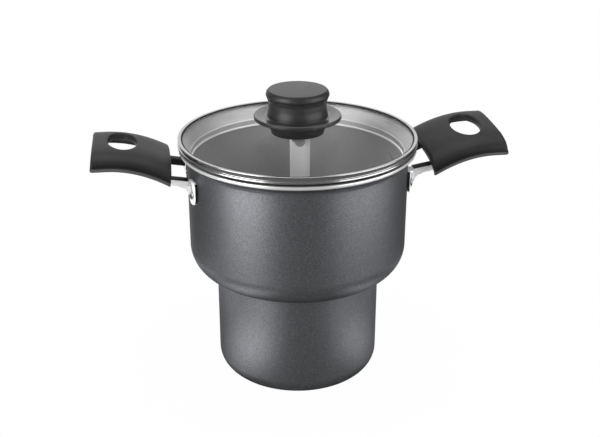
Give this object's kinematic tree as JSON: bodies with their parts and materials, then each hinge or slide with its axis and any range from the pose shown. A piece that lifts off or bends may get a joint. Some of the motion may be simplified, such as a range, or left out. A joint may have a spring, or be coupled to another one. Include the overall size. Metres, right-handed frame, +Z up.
{
  "type": "couscous steamer",
  "caption": "Stepped cooking pot with riveted side grips, a flat glass lid with a knob, and a lift-out perforated plate that holds couscous over boiling water.",
  "frame": {"origin": "centre of the pot's flat base, on the surface it stands on", "axes": "+Z up along the pot's axis, X across the two grips with +X through the right grip in the picture"},
  "size_m": [0.2614, 0.1538, 0.195],
  "materials": {
    "pot_coating": "satin graphite coating over pressed aluminium, rim left bare",
    "bracket_steel": "polished",
    "grip_plastic": "satin black",
    "fastener_steel": "plain",
    "lid_steel": "polished",
    "lid_glass": "clear",
    "gasket_rubber": "matt",
    "knob_plastic": "satin black",
    "plate_aluminium": "satin",
    "strip_aluminium": "satin"
  },
  "bodies": {
    "pot": {"pot_body": "pot_coating", "right_bracket": "bracket_steel", "left_bracket": "bracket_steel", "right_grip": "grip_plastic", "left_grip": "grip_plastic", "right_grip_screw": "fastener_steel", "left_grip_screw": "fastener_steel", "right_rivet_far": "fastener_steel", "right_rivet_near": "fastener_steel", "left_rivet_far": "fastener_steel", "left_rivet_near": "fastener_steel"},
    "lid": {"lid_rim": "lid_steel", "lid_glass": "lid_glass", "knob_gasket": "gasket_rubber", "knob_base": "knob_plastic", "knob_cap": "knob_plastic", "knob_washer": "fastener_steel", "knob_screw": "fastener_steel"},
    "steamer": {"steamer_plate": "plate_aluminium", "lift_strip": "strip_aluminium", "strip_rivet": "plate_aluminium"}
  },
  "joints": [
    {"name": "lid_lift", "type": "slide", "parent": "pot", "child": "lid", "axis": [0, 0, 1], "range_m": [0, 0.2]},
    {"name": "steamer_lift", "type": "slide", "parent": "pot", "child": "steamer", "axis": [0, 0, 1], "range_m": [0, 0.1]}
  ],
  "couplings": [
    {"joint": "steamer_lift", "follows": "lid_lift", "ratio": 0.5}
  ]
}
